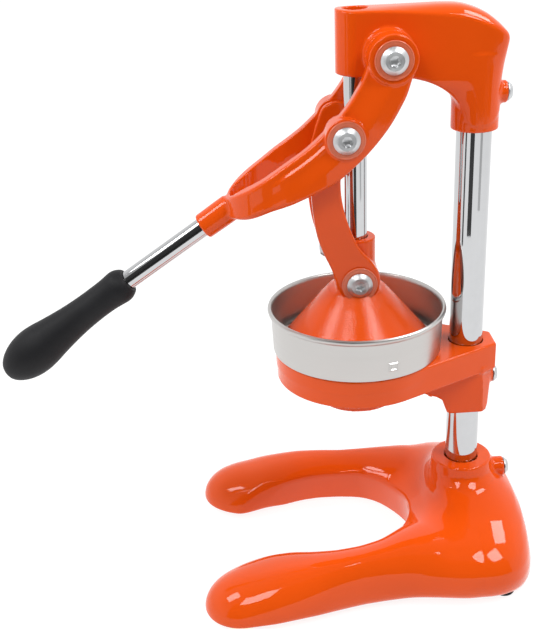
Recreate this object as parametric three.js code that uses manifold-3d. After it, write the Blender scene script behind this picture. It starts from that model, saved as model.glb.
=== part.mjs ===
// Lever citrus juice press: a horseshoe base casting carries a chrome column,
// a bowl bracket and an arched head. A forked lever on the head works two
// links, which drive a conical press bell on a chrome guide rod down over a
// strainer cone in a stainless cup. Millimetres, +Z up, front of the press
// (handle side) towards -Y, symmetry plane X = 0, column axis at X = Y = 0,
// Z = 0 on the worktop under the rubber feet.
import * as THREE from 'three';
import { mergeVertices } from 'three/addons/utils/BufferGeometryUtils.js';
import Module from 'manifold-3d';

// ---------------------------------------------------------------- dimensions
const GAP = 0.3;                      // working gap between touching pieces
const COLUMN_R = 12.5, COLUMN_BOTTOM = 22, COLUMN_TOP = 418;
const PRESS_Y = -83.5;                // axis of guide rod, bell, cup and bowl
const ROD_R = 8.0, ROD_TOP = 421;
const FOOT_H = 3.0;                   // casting's underside above the worktop
const BOSS_R = 23.1, BOSS_TOP = 80.7;
const A = [-63.0, 403.6];             // lever pivot on the head   (y, z)
const B = [-94.4, 352.6];             // link pivot on the lever   (y, z)
const C = [PRESS_Y, 240.5];           // link pivot on the bell    (y, z)
const WASHER_R = 12.95, WASHER_T = 1.2, SCREW_R = 9.3, SCREW_T = 3.4;
const PAD_X = 38.5;                   // outer face of the lever's pivot pads
const ARM_IN = 23.8;                  // inner face of the lever's arms
const LINK_PAD_R = 14.1;              // pad round the lever's link pivot
const LINK_T = 6.0, LINK_TOP_X = 17.2, LINK_LOW_X = 13.0;
const PIN_SEAT_X = 18.9;              // bottom of the pin's blind bore in a link
const HEAD_HALF = 14.0, HEAD_TOP = 432.8, HEAD_UNDER = 385.8, HEAD_BOSS_R = 16.4;
const SOCKET_R = 16.6, SOCKET_BOTTOM = 349.5;
const BORE_R = 8.3;
const CUP_RIM_Z = 215.8, CUP_RIM_R = 66.5, DISH_R = 60.8, DISH_TOP = 183.2;
const BRACKET_TOP = 182.8, PLATE_BOTTOM = 161, HUB_BOTTOM = 126;
const HANDLE_P = [-191.1, 286.06], HANDLE_D = [-0.8315, -0.5555]; // axis point and direction (y, z)
const HANDLE_R = 7.0;
const SHAFT_R = 6.0;

// ------------------------------------------------------------------ helpers
const wasm = await Module();
wasm.setup();

function solid(geometry) {
  const g = geometry.clone();
  g.deleteAttribute('normal');
  g.deleteAttribute('uv');
  const m = mergeVertices(g, 1e-4);
  return new wasm.Manifold(new wasm.Mesh({
    numProp: 3,
    vertProperties: new Float32Array(m.attributes.position.array),
    triVerts: new Uint32Array(m.index.array),
  }));
}
function toGeometry(manifold) {
  const mesh = manifold.getMesh();
  const g = new THREE.BufferGeometry();
  g.setAttribute('position', new THREE.BufferAttribute(new Float32Array(mesh.vertProperties), 3));
  g.setIndex(new THREE.BufferAttribute(new Uint32Array(mesh.triVerts), 1));
  return g;
}
const join = (...parts) => parts.reduce((a, b) => a.add(b));
const cut = (a, ...tools) => tools.reduce((m, t) => m.subtract(t), a);

// straight cylinder (or cone) between two points
function rod(p0, p1, r0, r1 = r0, seg = 28) {
  const a = new THREE.Vector3(...p0), b = new THREE.Vector3(...p1);
  const d = b.clone().sub(a), h = d.length();
  const g = new THREE.CylinderGeometry(r1, r0, h, seg, 1);
  g.applyMatrix4(new THREE.Matrix4().makeRotationFromQuaternion(
    new THREE.Quaternion().setFromUnitVectors(new THREE.Vector3(0, 1, 0), d.normalize())));
  g.translate(...a.add(b).multiplyScalar(0.5).toArray());
  return g;
}
const rodX = (x0, x1, [y, z], r, seg = 28) => rod([x0, y, z], [x1, y, z], r, r, seg);
const rodZ = (z0, z1, x, y, r, seg = 32) => rod([x, y, z0], [x, y, z1], r, r, seg);
// closed outline in (y, z) pushed through x0..x1
function slabX(points, x0, x1) {
  const s = new THREE.Shape(points.map(([y, z]) => new THREE.Vector2(y, z)));
  const g = new THREE.ExtrudeGeometry(s, { depth: x1 - x0, bevelEnabled: false });
  g.applyMatrix4(new THREE.Matrix4().set(0, 0, 1, x0, 1, 0, 0, 0, 0, 1, 0, 0, 0, 0, 0, 1));
  return g;
}
// closed outline in (x, y) pushed through z0..z1
function slabZ(points, z0, z1) {
  const s = new THREE.Shape(points.map(([x, y]) => new THREE.Vector2(x, y)));
  const g = new THREE.ExtrudeGeometry(s, { depth: z1 - z0, bevelEnabled: false });
  g.translate(0, 0, z0);
  return g;
}
// profile of (r, z) pairs turned about a vertical axis at (0, y)
function turnZ(profile, y = 0, seg = 40) {
  const g = new THREE.LatheGeometry(profile.map(([r, z]) => new THREE.Vector2(r, z)), seg);
  g.rotateX(Math.PI / 2);
  g.translate(0, y, 0);
  return g;
}
// profile of (r, s) pairs turned about the handle's axis
function turnHandle(profile, seg = 24) {
  const g = new THREE.LatheGeometry(profile.map(([r, s]) => new THREE.Vector2(r, s)), seg);
  const dir = new THREE.Vector3(0, HANDLE_D[0], HANDLE_D[1]).normalize();
  g.applyMatrix4(new THREE.Matrix4().makeRotationFromQuaternion(
    new THREE.Quaternion().setFromUnitVectors(new THREE.Vector3(0, 1, 0), dir)));
  g.translate(0, HANDLE_P[0], HANDLE_P[1]);
  return g;
}
const onHandle = (s) => [0, HANDLE_P[0] + HANDLE_D[0] * s, HANDLE_P[1] + HANDLE_D[1] * s];
// straight-line interpolation in a table of [t, v, v, ...] rows
function table(rows, t) {
  if (t <= rows[0][0]) return rows[0].slice(1);
  for (let i = 1; i < rows.length; i++) {
    if (t <= rows[i][0]) {
      const k = (t - rows[i - 1][0]) / (rows[i][0] - rows[i - 1][0]);
      return rows[i].slice(1).map((v, j) => rows[i - 1][j + 1] + k * (v - rows[i - 1][j + 1]));
    }
  }
  return rows[rows.length - 1].slice(1);
}

const PAINT = { color: 0xd9480f, roughness: 0.25, metalness: 0.0 };
const CHROME = { color: 0xd8dadd, roughness: 0.08, metalness: 1.0 };
const STEEL = { color: 0xc4bfb8, roughness: 0.35, metalness: 0.9 };
const RUBBER = { color: 0x1c1c1e, roughness: 0.7, metalness: 0.0 };
const WASHER = { color: 0xe0704a, roughness: 0.3, metalness: 0.0 };
// The part's origin is on the worktop under the middle of its outline, so the
// column frame is shifted back by this much.
const ORIGIN_SHIFT_Y = 150.98;
const press = new THREE.Group();
press.position.y = ORIGIN_SHIFT_Y;
function piece(name, geometry, look, parent = press) {
  const mesh = new THREE.Mesh(geometry, new THREE.MeshStandardMaterial(look));
  mesh.name = name;
  parent.add(mesh);
  return mesh;
}

// -------------------------------------------------------------- base casting
// One leg's path from its bulbous toe, back round the rear to the other toe.
// Each row: path station, centre, outer half width, crest height, inner half
// width. The inner side reaches into the gap between the legs and is cut back.
const LEG = [
  [-209.2, 75.3, 1.2, 8.6, 1.2],
  [-208.6, 75.3, 5.4, 10.4, 5.4],
  [-206, 75.3, 12.8, 14.7, 12.8],
  [-202, 75.3, 18.5, 18.7, 18.5],
  [-196, 75.3, 23.6, 22.8, 23.6],
  [-188, 75.3, 27.2, 26.8, 27.4],
  [-178, 75.2, 28.5, 31.0, 29.4],
  [-167, 75.1, 28.2, 34.8, 33.0],
  [-156, 75.6, 27.0, 37.8, 34.0],
  [-140, 76.6, 23.7, 40.4, 33.5],
  [-125, 77.3, 20.1, 42.2, 31.0],
  [-107, 76.3, 16.7, 43.3, 28.5],
  [-89, 73.6, 15.2, 44.1, 28.0],
  [-72, 69.9, 17.2, 46.2, 28.4],
  [-55, 64.9, 21.8, 48.4, 36.0],
  [-35, 59.3, 28.4, 50.0, 44.0],
  [-12, 52.8, 34.0, 49.4, 46.0],
];
// The lower edge of the cross-section is rolled under, the top is a dome.
function legSection(hw, h, n, z0) {
  const pts = [];
  const r = Math.min(11, hw * 0.55, (h - z0) * 0.45);
  for (let i = 0; i < n; i++) {
    const a = (i / n) * Math.PI * 2 - Math.PI / 2;
    const c = Math.cos(a), s = Math.sin(a);
    let x, z;
    if (s < 0) {                                   // rolled lower half
      const p = 4;
      x = Math.sign(c) * Math.pow(Math.abs(c), 2 / p) * hw;
      z = z0 + r * 1.5 - Math.pow(Math.abs(s), 2 / p) * r * 1.5;
    } else {                                       // domed upper half
      const p = 2.5;
      x = Math.sign(c) * Math.pow(Math.abs(c), 2 / p) * hw;
      z = z0 + r * 1.5 + Math.pow(Math.abs(s), 2 / p) * (h - z0 - r * 1.5);
    }
    pts.push([x, z]);
  }
  return pts;
}
function legLoft(side, inset, n) {
  const rows = LEG.length - 1;
  const g = new THREE.CylinderGeometry(1, 1, 1, n, rows);
  const pos = g.attributes.position;
  for (let i = 0; i < pos.count; i++) {
    const x = pos.getX(i), k = Math.round((0.5 + pos.getY(i)) * rows), z = pos.getZ(i);
    const [cy, cx, hw, h, hin] = LEG[k];
    const a = LEG[Math.max(0, k - 1)], b = LEG[Math.min(rows, k + 1)];
    const len = Math.hypot(b[1] - a[1], b[0] - a[0]), nx = (b[0] - a[0]) / len, ny = -(b[1] - a[1]) / len;
    const half = Math.max(0.6, hw - inset), top = Math.max(FOOT_H + 2, h - inset), floor = FOOT_H - (inset ? 2.5 : 0);
    const y = cy + (k === 0 ? inset : 0);
    if (Math.hypot(x, z) < 1e-6) { pos.setXYZ(i, side * cx, y, FOOT_H + (top - FOOT_H) * 0.5); continue; }
    const j = Math.round((Math.atan2(z, x) + 2 * Math.PI) / (2 * Math.PI) * n) % n;
    const p = legSection(half, top, n, floor)[j];
    if (p[0] < 0) p[0] *= Math.max(0.6, hin - inset) / half;
    pos.setXYZ(i, side * (cx + nx * p[0]), y + ny * p[0], p[1]);
  }
  return g;
}
function legSolid(side, inset, n) {
  const g = legLoft(side, inset, n);
  let m = solid(g);
  if (m.volume() < 0) {
    const idx = g.index.array;
    for (let i = 0; i < idx.length; i += 3) [idx[i + 1], idx[i + 2]] = [idx[i + 2], idx[i + 1]];
    m = solid(g);
  }
  return m;
}
// Rear body: a stack of rounded outlines that shrink upwards to the boss.
function outline(rx, yf, yMid, yr, pf, pr, n) {
  // two half superellipses: yf..yMid in front, yMid..yr behind, half width rx
  const pts = [];
  for (let i = 0; i < n; i++) {
    const a = (i / n) * Math.PI * 2, c = Math.cos(a), s = Math.sin(a);
    const p = s < 0 ? pf : pr, ry = s < 0 ? yMid - yf : yr - yMid;
    pts.push([Math.sign(c) * Math.pow(Math.abs(c), 2 / p) * rx,
      yMid + Math.sign(s) * Math.pow(Math.abs(s), 2 / p) * ry]);
  }
  return pts;
}
const BODY = [
  // z, half width, front y, middle y, rear y, front and rear squareness
  [3, 80.1, -56.0, 8, 49.9, 2.4, 2.9],
  [6, 82.3, -56.0, 8, 50.2, 2.4, 2.9],
  [12, 85.0, -55.0, 8, 50.0, 2.4, 2.95],
  [20, 86.5, -53.0, 8, 48.8, 2.4, 2.95],
  [30, 85.0, -48.0, 8, 46.8, 2.3, 2.9],
  [38, 79.8, -41.6, 7, 45.4, 2.2, 2.9],
  [46, 71.0, -32.0, 5, 43.2, 2.1, 2.85],
  [54, 57.5, -26.6, 3, 39.0, 2.0, 2.7],
  [60, 44.0, -24.6, 1, 33.0, 2.0, 2.4],
  [65, 31.6, -24.0, 0, 27.2, 2.0, 2.1],
  [71, 25.6, -23.7, 0, 24.6, 2.0, 2.0],
  [80.7, 23.1, -23.1, 0, 23.1, 2.0, 2.0],
];
// Half outline (x, y) of the gap between the legs at two heights. Its wall
// slopes, so that the opening widens towards the worktop.
const GAP_TOP_Z = 36.5, GAP_FOOT_Z = 3;
const GAP_ROWS = [
  // x, y at the top, x, y at the foot
  [0, -42.2, 0, -37.0],
  [10, -43.5, 12, -38.2],
  [20, -47.3, 24, -41.2],
  [29.4, -53, 35, -46.6],
  [38.4, -61, 46, -54.4],
  [44.2, -69, 55, -63.5],
  [48.5, -77, 61, -75],
  [50.8, -87, 63.4, -88],
  [52.4, -105, 64, -104],
  [50.8, -125, 61.5, -125],
  [47.3, -141, 56.2, -141],
  [45.8, -156, 51.5, -156],
  [45.4, -175, 48.6, -175],
  [45.4, -240, 48, -240],
];
function gapCutter(grow) {
  const half = GAP_ROWS.map(([x0, y0, x1, y1], i) => {
    const a = GAP_ROWS[Math.max(0, i - 1)], b = GAP_ROWS[Math.min(GAP_ROWS.length - 1, i + 1)];
    const push = (k, x, y) => {
      if (i === 0) return [0, y + grow];
      const len = Math.hypot(b[k] - a[k], b[k + 1] - a[k + 1]);
      return [x - (b[k + 1] - a[k + 1]) / len * grow, y + (b[k] - a[k]) / len * grow];
    };
    return [push(0, x0, y0), push(2, x1, y1)];
  });
  const ring = [...half, ...half.slice(1).reverse().map((p) => p.map(([x, y]) => [-x, y]))].reverse();
  const at = (z) => {
    const t = (GAP_TOP_Z - z) / (GAP_TOP_Z - GAP_FOOT_Z);
    return ring.map(([p, q]) => [p[0] + (q[0] - p[0]) * t, p[1] + (q[1] - p[1]) * t, z]);
  };
  const n = ring.length, low = at(-4), high = at(52);
  const caps = THREE.ShapeUtils.triangulateShape(high.map(([x, y]) => new THREE.Vector2(x, y)), []);
  const verts = [...low, ...high].flat(), tris = [];
  for (let i = 0; i < n; i++) {
    const k = (i + 1) % n;
    tris.push(i, k, n + k, i, n + k, n + i);
  }
  for (const [a, b, c] of caps) tris.push(n + a, n + b, n + c, a, c, b);
  const g = new THREE.BufferGeometry();
  g.setAttribute('position', new THREE.BufferAttribute(new Float32Array(verts), 3));
  g.setIndex(tris);
  return solid(g);
}
function bodyStack(rows, inset, n) {
  const g = new THREE.CylinderGeometry(1, 1, 1, n, rows.length - 1);
  const pos = g.attributes.position;
  for (let i = 0; i < pos.count; i++) {
    const x = pos.getX(i), z = pos.getZ(i);
    const k = Math.round((0.5 + pos.getY(i)) * (rows.length - 1));
    const [zz, rx, yf, ym, yr, pf, pr] = rows[k];
    const lift = k === rows.length - 1 ? -inset : 0;
    if (Math.hypot(x, z) < 1e-6) { pos.setXYZ(i, 0, ym, zz + lift); continue; }
    const j = Math.round((Math.atan2(-z, x) + 2 * Math.PI) / (2 * Math.PI) * n) % n;
    const q = outline(rx - inset, yf + inset, ym, yr - inset, pf, pr, n)[j];
    pos.setXYZ(i, q[0], q[1], zz + lift);
  }
  return g;
}
const WALL = 5.0;
let base = join(legSolid(1, 0, 20), legSolid(-1, 0, 20), solid(bodyStack(BODY, 0, 32)));
base = cut(base, gapCutter(0));
// set-screw boss on the rear of the column seat
base = base.add(solid(rod([0, 15, 67.5], [0, 34.2, 66.8], 8.4, 7.8, 16)));
// the casting is hollow underneath, with a solid seat round the column and
// solid pads over the feet
const FEET = [[76, -184, 'front_right'], [-76, -184, 'front_left'], [71, 20, 'rear_right'], [-71, 20, 'rear_left']];
const hollowRows = [[-2, ...BODY[0].slice(1)], ...BODY.filter((r, i) => i !== 1 && i !== 3 && r[0] <= 46)];
let hollow = join(legSolid(1, WALL, 12), legSolid(-1, WALL, 12), solid(bodyStack(hollowRows, WALL, 20)));
hollow = cut(hollow, gapCutter(WALL), solid(rodZ(-10, 120, 0, 0, 19, 20)));
for (const [fx, fy] of FEET) hollow = hollow.subtract(solid(rodZ(-10, 120, fx, fy, 10, 12)));
base = cut(base, hollow);
base = cut(base, solid(rodZ(COLUMN_BOTTOM - GAP, 120, 0, 0, COLUMN_R + 0.45, 28)));
base = cut(base, solid(rod([0, 5, 67], [0, 60, 67], 3.3, 3.3, 10)));
for (const [fx, fy] of FEET) base = cut(base, solid(rodZ(-10, 9, fx, fy, 5.3, 12)));
piece('base_casting', toGeometry(base), PAINT);
for (const [fx, fy, name] of FEET) {
  const foot = turnZ([[0, 8.4], [4.9, 8.4], [4.9, FOOT_H - GAP], [8.0, FOOT_H - GAP], [8.6, 1.6], [8.0, 0], [0, 0]].reverse(), 0, 16);
  foot.translate(fx, fy, 0);
  piece('foot_' + name, foot, RUBBER);
}
piece('column_tube', rodZ(COLUMN_BOTTOM, COLUMN_TOP, 0, 0, COLUMN_R, 28), CHROME);

// pan-head hex-socket set screw with its shank, pointing along +Y or -Y
function setScrew(y0, z, dir, tip) {
  // y0: seat face the head rests on, tip: end of the shank
  const head = rod([0, y0 + dir * GAP, z], [0, y0 + dir * (GAP + 3.6), z], 6.8, 5.6, 16);
  const shank = rod([0, tip, z], [0, y0 + dir * (GAP + 1), z], 2.9, 2.9, 10);
  const socket = rod([0, y0 + dir * (GAP + 1.4), z], [0, y0 + dir * (GAP + 6), z], 2.5, 2.5, 6);
  return toGeometry(cut(join(solid(head), solid(shank)), solid(socket)));
}
piece('base_set_screw', setScrew(34.3, 67, 1, COLUMN_R + GAP), CHROME);

// -------------------------------------------------------------- head casting
const HEAD_SIDE = [
  [-83.5, HEAD_UNDER], [-44, HEAD_UNDER - 0.2], [-36, 383.2], [-28, 379.2], [-20.5, 373.8], [-14, 366],
  [-8, 356], [12, 356], [16.4, 366], [16.9, 380], [18.2, 391], [20.4, 403], [21.8, 408.5],
  [15.5, 417], [9, 423], [2.5, 427], [-5, 430], [-14, 431.8], [-25, HEAD_TOP + 0.4], [-45, HEAD_TOP + 0.4], [-83.5, HEAD_TOP],
];
let head = join(
  solid(slabX(HEAD_SIDE, -HEAD_HALF, HEAD_HALF)),
  solid(rodZ(HEAD_UNDER, HEAD_TOP, 0, PRESS_Y, HEAD_HALF, 28)),
  solid(rodZ(SOCKET_BOTTOM, 409, 0, 0, SOCKET_R, 28)),
  solid(rodX(-ARM_IN + GAP, ARM_IN - GAP, A, HEAD_BOSS_R, 28)),
  solid(rod([0, 10, 371], [0, 21.2, 371], 8.4, 7.8, 16)),
);
head = cut(head,
  solid(rodZ(SOCKET_BOTTOM - 5, COLUMN_TOP + 1, 0, 0, COLUMN_R + 0.45, 28)),
  solid(rodZ(HEAD_UNDER - 5, HEAD_TOP + 5, 0, PRESS_Y, BORE_R + 0.1, 28)),
  solid(rodX(-40, 40, A, SHAFT_R + GAP + 0.1, 16)),
  solid(rod([0, 5, 371], [0, 40, 371], 3.3, 3.3, 10)));
piece('head_casting', toGeometry(head), PAINT);
piece('head_set_screw', setScrew(21.3, 371, 1, COLUMN_R + GAP), CHROME);

// -------------------------------------------------------------- bowl bracket
// outline of two circles joined by tangents, squared off behind the column
function bracketPlan(rBowl, rHub, rear, chamfer) {
  const d = -PRESS_Y, a = Math.asin((rBowl - rHub) / d), pts = [];
  const n = [Math.cos(a), Math.sin(a)];        // outward normal of the +X tangent, turned to the rear
  const bowl = [n[0] * rBowl, PRESS_Y + n[1] * rBowl], hub = [n[0] * rHub, n[1] * rHub];
  pts.push(bowl, hub, [rHub * 0.93, rHub * 0.55], [chamfer + 4.5, rear - 5], [chamfer, rear], [-chamfer, rear],
    [-chamfer - 4.5, rear - 5], [-rHub * 0.93, rHub * 0.55], [-hub[0], hub[1]], [-bowl[0], bowl[1]]);
  return pts;
}
const bowlOuter = turnZ([[0, 141.6], [29.6, 141.6], [30.4, 157.4], [45, 157.2], [50.6, 158.3], [55.6, 161.5], [59.2, 166.5], [60.8, 172.5],
  [DISH_R, DISH_TOP - 0.4], [DISH_R - 0.5, DISH_TOP], [0, DISH_TOP]], PRESS_Y, 32);
const HUB_R = 19.9;
const GUSSET = [[-16, HUB_BOTTOM + 1], [-18.5, 131], [-24, 136.5], [-34, 143.5], [-46, 157.5], [-46, PLATE_BOTTOM + 1], [6, PLATE_BOTTOM + 1], [6, HUB_BOTTOM + 1]];
const hubLower = bracketPlan(17.4, 17.4, 17.3, 7.5).map(([x, y]) => [x, y]);
let bracket = join(
  solid(bowlOuter),
  solid(slabZ(bracketPlan(DISH_R, HUB_R, 21.2, 8.5), PLATE_BOTTOM, BRACKET_TOP)),
  solid(slabZ([[17.2, -6], [17.2, 8], [13.5, 13.5], [8, 17.4], [-8, 17.4], [-13.5, 13.5], [-17.2, 8], [-17.2, -6], [-13, -13.5], [-7, -17.5], [7, -17.5], [13, -13.5]], HUB_BOTTOM, PLATE_BOTTOM + 2)),
  solid(slabX(GUSSET, -13.5, 13.5)),
  solid(rod([0, 12, 156.5], [0, 22.6, 156.5], 7.8, 7.4, 16)),
);
bracket = cut(bracket,
  solid(turnZ([[0, 130], [23.4, 130], [23.4, 156], [54.6, 168.8], [56.6, 172], [56.6, 200], [0, 200]], PRESS_Y, 32)),
  solid(rodZ(HUB_BOTTOM - 10, 300, 0, 0, COLUMN_R + 0.45, 28)),
  solid(rod([0, 5, 156.5], [0, 60, 156.5], 3.3, 3.3, 10)));
piece('bowl_bracket', toGeometry(bracket), PAINT);
piece('bracket_set_screw', setScrew(22.7, 156.5, 1, COLUMN_R + GAP), CHROME);

// --------------------------------------------------------- cup and strainer
piece('juice_cup', turnZ([
  [17.8, 137], [19.4, 137], [19.6, 158.6], [53.8, 172.6], [55.4, 183.5],
  [62.9, 183.5], [64.5, 212.6], [CUP_RIM_R, 215.2], [65.6, 217.2], [63.4, 216.4],
  [61.5, 185.3], [54.2, 185.3], [52.6, 174.4], [17.9, 160.2], [17.8, 137],
], PRESS_Y, 36), STEEL);
let strainer = solid(turnZ([
  [0, 214.6], [8, 213.2], [19, 204.6], [39.6, 188.4], [42.4, 187.0], [60.8, 187.0], [60.8, 185.6],
  [42, 185.6], [38.4, 187.0], [18, 203.2], [7.6, 211.4], [0, 212.8],
].reverse(), PRESS_Y, 32));
for (let i = 0; i < 12; i++) {
  const slot = new THREE.BoxGeometry(8, 3, 8);
  slot.translate(48.5, 0, 186);
  slot.rotateZ((i / 12) * Math.PI * 2);
  slot.translate(0, PRESS_Y, 0);
  strainer = strainer.subtract(solid(slot));
}
piece('strainer_cone', toGeometry(strainer), STEEL);

// ----------------------------------------------------------------- press bell
let bell = solid(turnZ([
  [0, 222.5], [19.8, 222.5], [22.2, 220.6], [49.6, 190.6], [54.6, 190.6], [54.9, 191.2],
  [28.4, 224.3], [25.0, 226.5], [0, 227.0],
], PRESS_Y, 32));
bell = join(bell,
  solid(slabX([[-98.0, 220.5], [-69.0, 220.5], [-69.0, 240.5], [-98.0, 240.5]], -LINK_LOW_X + GAP, LINK_LOW_X - GAP)),
  solid(rodX(-LINK_LOW_X + GAP, LINK_LOW_X - GAP, C, 16.2, 24)),
  solid(rodZ(226, 271.2, 0, PRESS_Y, 13.9, 24)).intersect(solid(slabX([[-100, 220], [-60, 220], [-60, 280], [-100, 280]], -LINK_LOW_X + GAP, LINK_LOW_X - GAP))),
  solid(rod([0, -92, 263.5], [0, -106.2, 263.5], 7.6, 7.2, 16)));
bell = cut(bell,
  solid(rodZ(251, 300, 0, PRESS_Y, ROD_R + GAP + 0.1, 24)),
  solid(rodX(-40, 40, C, SHAFT_R + GAP + 0.1, 16)),
  solid(rod([0, -80, 263.5], [0, -120, 263.5], 3.3, 3.3, 10)));
piece('press_bell', toGeometry(bell), PAINT);
piece('bell_set_screw', setScrew(-106.3, 263.5, -1, PRESS_Y - ROD_R - GAP), CHROME);
piece('guide_rod', rodZ(251 + GAP, ROD_TOP, 0, PRESS_Y, ROD_R, 24), CHROME);

// ----------------------------------------------------------------- lever yoke
// side view of one arm, (y, z)
const ARM_SIDE = [
  [-47.0, 398.5], [-49.8, 389.8], [-52.9, 379.5], [-57.0, 371.0], [-63.2, 360.0], [-71.4, 349.0], [-79.7, 339.7],
  [-88.1, 332.0], [-97.7, 324.1], [-114.8, 314.9], [-130.6, 307.2], [-159.2, 295.5],
  [-171.0, 291.7], [-176.6, 293.4], [-180.0, 298.2], [-179.4, 304.4], [-175.8, 307.3],
  [-159.4, 318.3], [-129.5, 338.3],
  [-119.5, 345.6], [-109.3, 354.7], [-99.2, 365.2], [-91.3, 375.1], [-87.1, 381.8], [-80.5, 394.3], [-77.9, 402.7],
  [-63, 404],
];
// the outer face is raised below its upper edge, nearly flush with the pivot faces
const RAISED_SIDE = [
  [-50.2, 388.5], [-53.3, 379.3], [-57.3, 371.1], [-63.4, 360.2], [-71.6, 349.2], [-79.9, 339.9],
  [-88.2, 332.2], [-97.8, 324.3], [-114.9, 315.1], [-130.6, 307.4], [-143, 302.6],
  [-141, 323.8], [-126.4, 333.8], [-116.0, 341.4], [-105.4, 350.8], [-95.1, 361.6], [-86.7, 372.0], [-75.5, 391.9], [-68, 401.5], [-60, 400],
];
const RAISED_FACE = [[38.2, -45], [38.2, -100], [37.7, -112], [36.3, -124], [35.0, -134], [33.2, -143]];
// plan view of the fork: centre line of one arm, (y, x), and its half thickness
const FORK = [
  [-40, 28.65, 4.85], [-98, 28.65, 4.85], [-108, 28.4, 4.6], [-118, 28.0, 4.2],
  [-132, 27.2, 4.5], [-142, 26.4, 4.6], [-150, 24.9, 4.7], [-157.2, 22.6, 4.6], [-163, 19.3, 4.4], [-168, 14.8, 4.2], [-171.8, 8.8, 4.0], [-173.0, 0, 3.8],
];
function forkPlan() {
  const outer = [], inner = [];
  for (let i = 0; i < FORK.length; i++) {
    const [y, x, t] = FORK[i];
    const a = FORK[Math.max(0, i - 1)], b = FORK[Math.min(FORK.length - 1, i + 1)];
    let dy = b[0] - a[0], dx = b[1] - a[1];
    if (i === FORK.length - 1) { dy = 0; dx = -1; }
    const l = Math.hypot(dx, dy);
    const nx = -dy / l, ny = dx / l;            // points away from the middle
    outer.push([x + nx * t, y + ny * t]);
    inner.push([x - nx * t, y - ny * t]);
  }
  const mirror = (pts) => pts.slice(0, -1).reverse().map(([x, y]) => [-x, y]);
  return [...outer, ...mirror(outer), ...[...inner, ...mirror(inner)].reverse()];
}
let yoke = solid(slabX(ARM_SIDE, -60, 60)).intersect(solid(slabZ(forkPlan(), 200, 500)));
for (const side of [1, -1]) {
  const plan = [...RAISED_FACE, [28, -143], [28, -45]].map(([x, y]) => [side * x, y]);
  yoke = yoke.add(solid(slabX(RAISED_SIDE, -60, 60)).intersect(solid(slabZ(side > 0 ? plan : plan.reverse(), 200, 500))));
}
yoke = join(yoke,
  solid(rodX(ARM_IN, PAD_X, A, HEAD_BOSS_R, 24)), solid(rodX(-PAD_X, -ARM_IN, A, HEAD_BOSS_R, 24)),
  solid(rodX(ARM_IN + 0.01, PAD_X, B, LINK_PAD_R, 24)), solid(rodX(-PAD_X, -ARM_IN - 0.01, B, LINK_PAD_R, 24)),
  solid(rod(onHandle(-17), onHandle(6.2), 10.4, 9.9, 20)));
yoke = cut(yoke,
  solid(rod(onHandle(-11), onHandle(20), HANDLE_R + GAP, HANDLE_R + GAP, 20)),
  solid(rodX(-60, 60, A, SHAFT_R + GAP + 0.1, 16)), solid(rodX(-60, 60, B, SHAFT_R + GAP + 0.1, 16)));
piece('lever_yoke', toGeometry(yoke), PAINT);
piece('handle_rod', rod(onHandle(-11 + GAP), onHandle(160), HANDLE_R, HANDLE_R, 20), CHROME);
piece('handle_grip', turnHandle([
  [HANDLE_R + GAP, 72], [9.8, 72], [12.4, 76], [12.6, 83], [11.6, 92], [12.3, 120], [15.5, 145], [17.3, 156], [17.4, 163],
  [15.2, 174], [12.0, 183], [6.5, 189.4], [0, 191], [0, 160.4], [HANDLE_R + GAP, 160.4], [HANDLE_R + GAP, 72],
], 20), RUBBER);

// ---------------------------------------------------------------------- links
const LINK_SIDE = [
  [-117.0, 308.0], [-115.9, 294.6], [-113.4, 277.3], [-109.2, 263.4], [-102.3, 247.5], [-99.6, 238.5], [-96.4, 232.6], [-90.6, 228.8], [-83.5, 227.4],
  [-77.0, 229.1], [-72.4, 233.4], [-70.0, 240.5], [-70.3, 246.9], [-75.4, 257.8], [-82.8, 266.2], [-89.6, 281.1], [-95.6, 300.6], [-97.5, 308.9], [-97.6, 323.0], [-95.6, 330.5],
  [-90.6, 338.2], [-84.8, 343.4], [-81.2, 352.6], [-85.0, 362.1], [-94.4, 366.0], [-103.9, 362.1], [-108.0, 352.6], [-113.5, 336.0], [-116.6, 322.0],
];
// flat lower and upper ends, and a straight slanting stretch between them
const LINK_BEND_LOW = 259, LINK_BEND_TOP = 328;
function linkBand(z0, z1, shift) {
  const g = slabX(LINK_SIDE, 0, LINK_T);
  const pos = g.attributes.position;
  for (let i = 0; i < pos.count; i++) pos.setX(i, pos.getX(i) + shift(pos.getZ(i)));
  return solid(g).intersect(solid(slabX([[-160, z0], [-20, z0], [-20, z1], [-160, z1]], 0, 60)));
}
function link(side) {
  const slope = (LINK_TOP_X - LINK_LOW_X) / (LINK_BEND_TOP - LINK_BEND_LOW);
  let m = join(
    linkBand(200, LINK_BEND_LOW + 0.001, () => LINK_LOW_X),
    linkBand(LINK_BEND_LOW, LINK_BEND_TOP, (z) => LINK_LOW_X + slope * (z - LINK_BEND_LOW)),
    linkBand(LINK_BEND_TOP - 0.001, 400, () => LINK_TOP_X));
  m = cut(m, solid(rodX(PIN_SEAT_X, 60, B, SHAFT_R + GAP + 0.1, 16)), solid(rodX(-60, 60, C, SHAFT_R + GAP + 0.1, 16)));
  if (side < 0) m = m.mirror([1, 0, 0]);
  return toGeometry(m);
}
piece('link_right', link(1), PAINT);
piece('link_left', link(-1), PAINT);

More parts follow.
